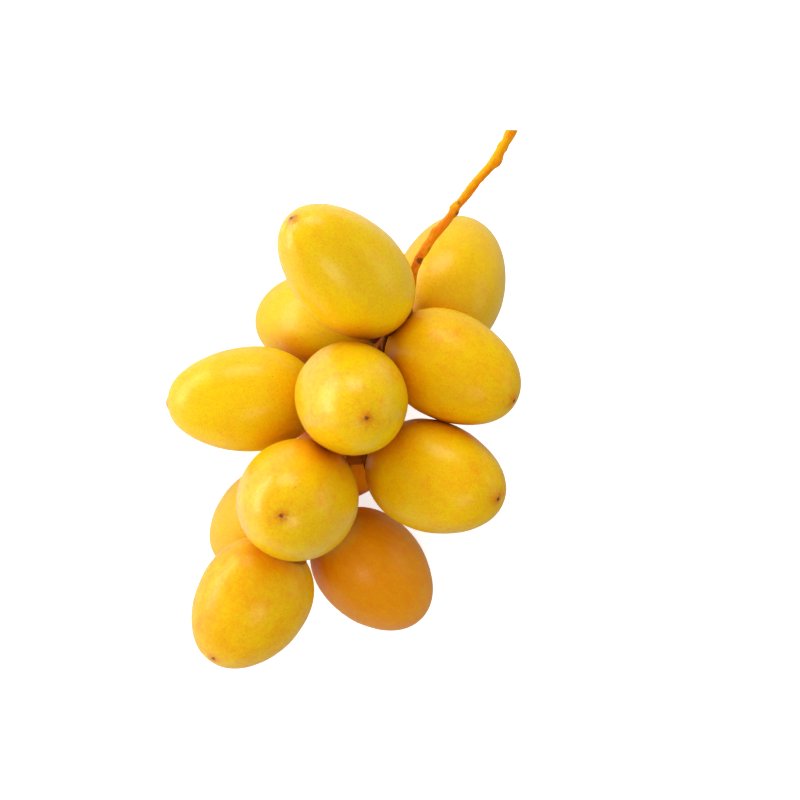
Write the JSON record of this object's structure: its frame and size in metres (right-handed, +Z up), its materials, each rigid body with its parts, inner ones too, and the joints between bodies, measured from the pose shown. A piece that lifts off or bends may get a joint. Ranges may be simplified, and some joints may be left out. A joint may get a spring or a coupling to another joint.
{
  "type": "strand of dates",
  "caption": "Picked strand of fresh yellow dates: smooth egg-shaped fruits in small cups on all sides of a thin, obliquely cut stem, lying on a table.",
  "frame": {"origin": "centre of the bounding box's bottom, on the table that the strand lies on", "axes": "+Z up from the table; +Y along the strand towards its cut end; +X to the right as the picture, taken from straight above, shows it"},
  "size_m": [0.0858, 0.1298, 0.0735],
  "materials": {
    "date_skin": "smooth waxy yellow skin",
    "strand_wood": "fresh orange stem, satin"
  },
  "bodies": {
    "root": {"strand": "strand_wood", "date_01": "date_skin", "date_02": "date_skin", "date_03": "date_skin", "date_04": "date_skin", "date_05": "date_skin", "date_06": "date_skin", "date_07": "date_skin", "date_08": "date_skin", "date_09": "date_skin", "date_10": "date_skin", "date_11": "date_skin", "date_12": "date_skin"}
  },
  "joints": []
}
